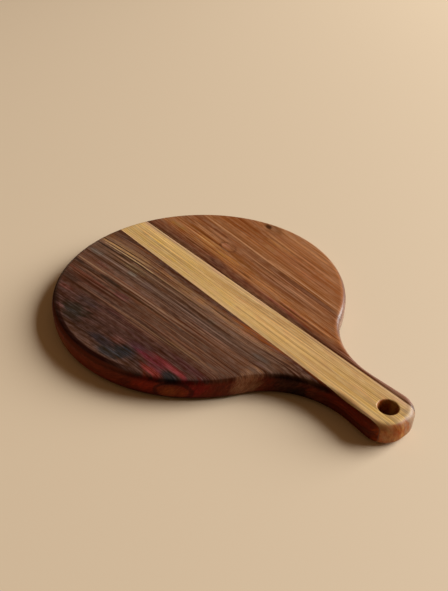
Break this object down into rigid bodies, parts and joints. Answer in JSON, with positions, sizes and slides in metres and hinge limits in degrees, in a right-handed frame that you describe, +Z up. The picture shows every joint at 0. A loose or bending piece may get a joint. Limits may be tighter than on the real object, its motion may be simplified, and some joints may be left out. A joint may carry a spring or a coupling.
{
  "type": "pizza board",
  "caption": "Round wooden pizza board with a short handle bored for hanging: a pale centre stave edge-glued between a dark stave and a red-brown one, all edges rounded.",
  "frame": {"origin": "centre of the round disc, on the flat underside that the board rests on", "axes": "+X from the disc's centre along the handle, +Y across the staves towards the brown stave, +Z up out of the serving face"},
  "size_m": [0.4053, 0.3, 0.022],
  "materials": {
    "dark_rosewood": "sanded and oiled, satin",
    "pale_hardwood": "sanded and oiled, satin",
    "brown_rosewood": "sanded and oiled, satin",
    "glue": "cured glue film"
  },
  "bodies": {
    "root": {"dark_stave": "dark_rosewood", "dark_side_glue_line": "glue", "centre_stave": "pale_hardwood", "brown_side_glue_line": "glue", "brown_stave": "brown_rosewood"}
  },
  "joints": []
}
